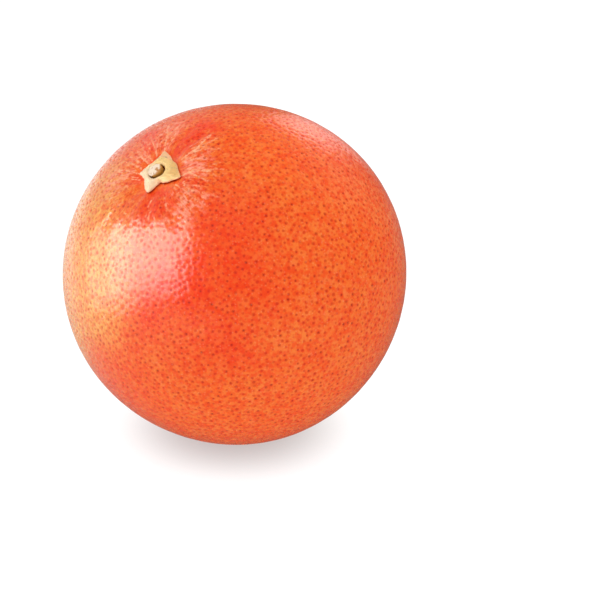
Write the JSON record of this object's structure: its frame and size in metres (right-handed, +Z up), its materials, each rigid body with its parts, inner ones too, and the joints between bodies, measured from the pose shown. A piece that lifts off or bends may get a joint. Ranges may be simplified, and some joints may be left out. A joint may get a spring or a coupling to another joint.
{
  "type": "grapefruit",
  "caption": "Whole fresh grapefruit lying on a small flat spot, with pitted peel, creases round the stem end, a dry star-shaped calyx and the cut stub of its stalk.",
  "frame": {"origin": "middle of the small flat spot that the fruit rests on", "axes": "+Z up from the table; -Y towards the viewer of the picture and +X to that viewer's right; the stem axis leans about 38 degrees from +Z towards -X and -Y"},
  "size_m": [0.1137, 0.1137, 0.1114],
  "materials": {
    "peel": "waxy pitted citrus peel, satin, orange-red with yellow-orange patches",
    "calyx": "dry leathery sepals, matt, cream to straw yellow",
    "stem": "dry cut stalk, matt, pale with brown rim"
  },
  "bodies": {
    "root": {"fruit": "peel", "calyx": "calyx", "stem_stub": "stem"}
  },
  "joints": []
}
